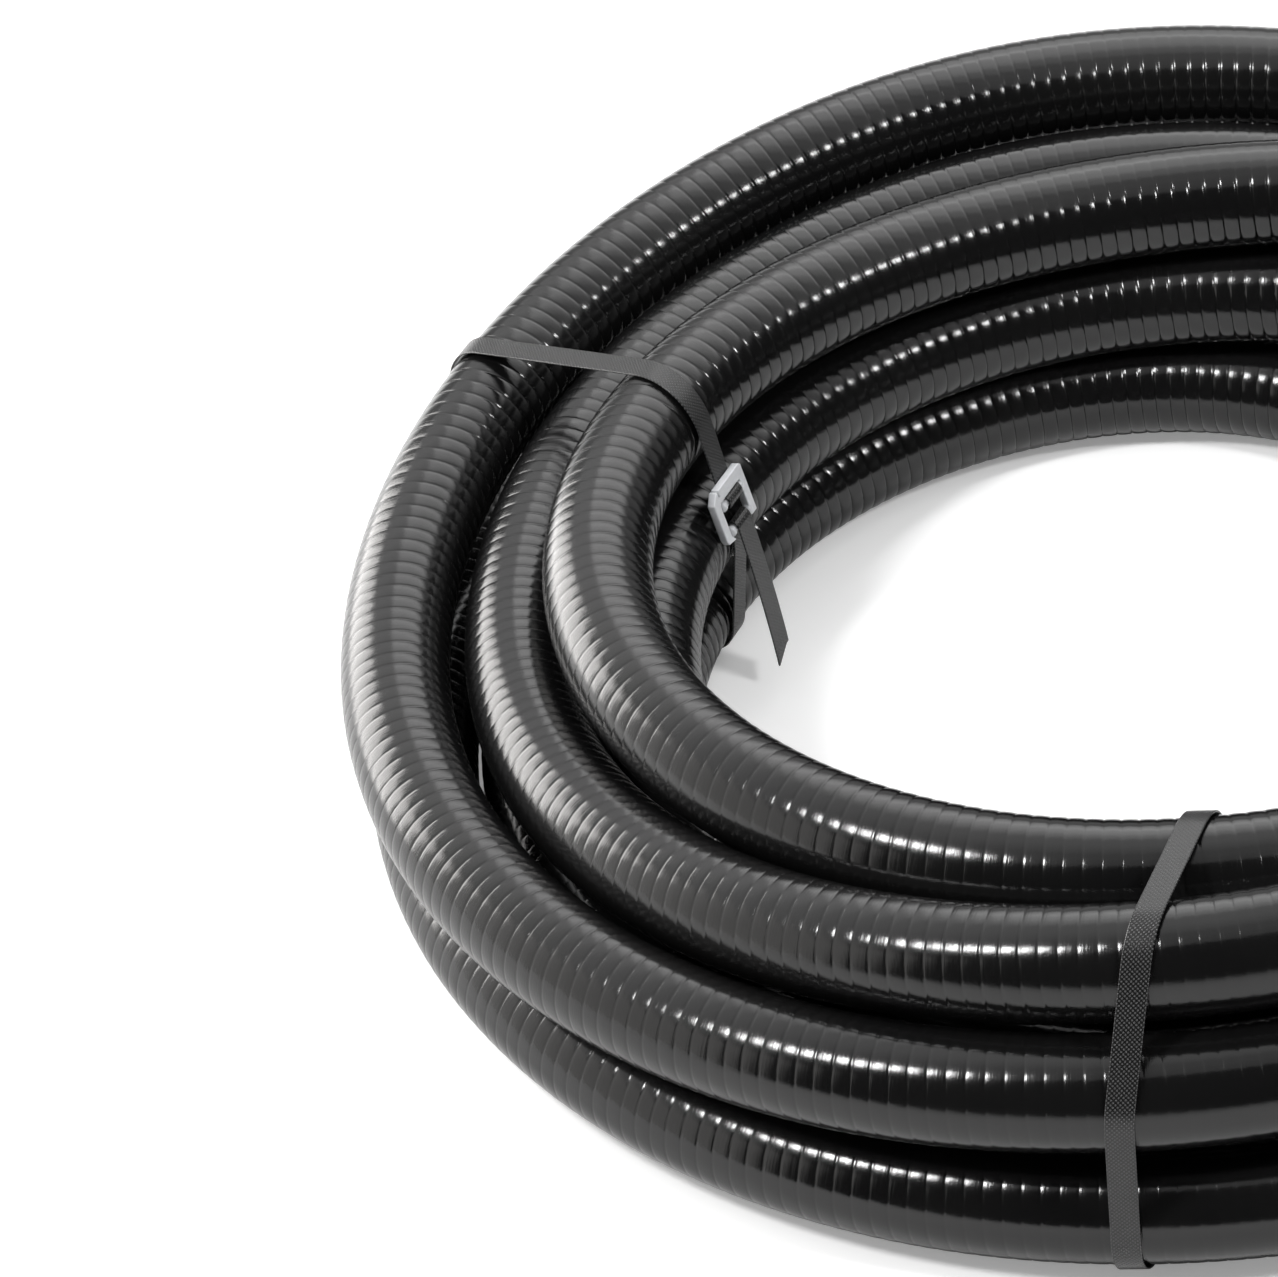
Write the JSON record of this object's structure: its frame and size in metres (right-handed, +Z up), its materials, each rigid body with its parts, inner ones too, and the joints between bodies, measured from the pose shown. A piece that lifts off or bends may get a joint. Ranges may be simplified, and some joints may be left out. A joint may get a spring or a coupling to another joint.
{
  "type": "pool vacuum hose coil",
  "caption": "Coiled length of glossy ribbed flexible hose, piled in loose layers and held by slim straps with clear plastic buckles.",
  "frame": {"origin": "middle of the coil's footprint, on the ground that its straps rest on", "axes": "+Z up, out of the flat coil; -Y towards the viewer of the picture, +X to the viewer's right"},
  "size_m": [0.7827, 0.7338, 0.166],
  "materials": {
    "hose": "glossy",
    "strap": "embossed satin",
    "buckle": "milky translucent"
  },
  "bodies": {
    "root": {"hose": "hose", "strap_left": "strap", "strap_front": "strap", "strap_right": "strap", "buckle_left": "buckle", "buckle_front": "buckle", "buckle_right": "buckle"}
  },
  "joints": []
}
